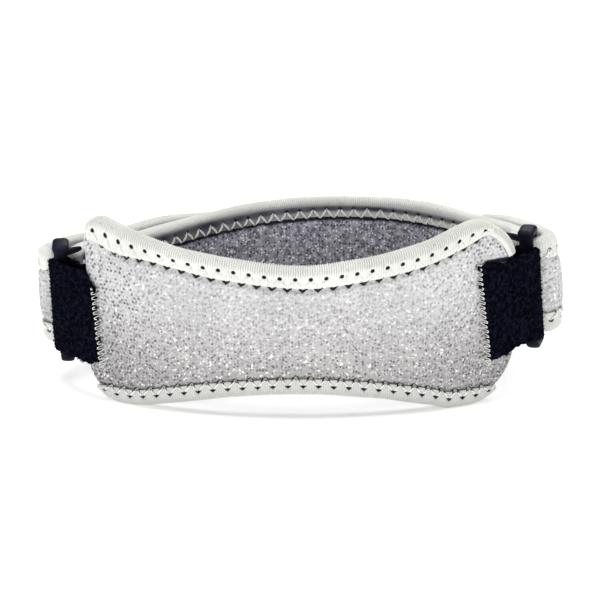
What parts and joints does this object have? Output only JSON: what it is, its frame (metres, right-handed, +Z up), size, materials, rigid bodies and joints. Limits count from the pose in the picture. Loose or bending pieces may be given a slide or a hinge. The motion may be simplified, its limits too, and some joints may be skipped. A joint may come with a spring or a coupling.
{
  "type": "patellar strap",
  "caption": "Padded knee strap: a dipped front panel and a back band with bound edges, joined at each side by a tape loop and a plastic ring.",
  "frame": {"origin": "middle of the strap's footprint on the table", "axes": "+X from the left ring to the right ring, +Y from the front panel to the back of the band, +Z up"},
  "size_m": [0.1618, 0.0934, 0.0574],
  "materials": {
    "grey_knit": "light grey flecked loop knit over foam",
    "cream_binding": "cream ribbed binding tape with zigzag stitching",
    "black_pile": "black hook-and-loop tape",
    "black_plastic": "black moulded plastic, softly shiny"
  },
  "bodies": {
    "root": {"front_pad": "grey_knit", "pad_top_binding": "cream_binding", "pad_bottom_binding": "cream_binding", "back_band": "grey_knit", "band_binding": "cream_binding", "left_ring": "black_plastic", "right_ring": "black_plastic", "left_tape_loop": "black_pile", "right_tape_loop": "black_pile", "left_hook_strip": "black_pile", "right_hook_strip": "black_pile"}
  },
  "joints": []
}
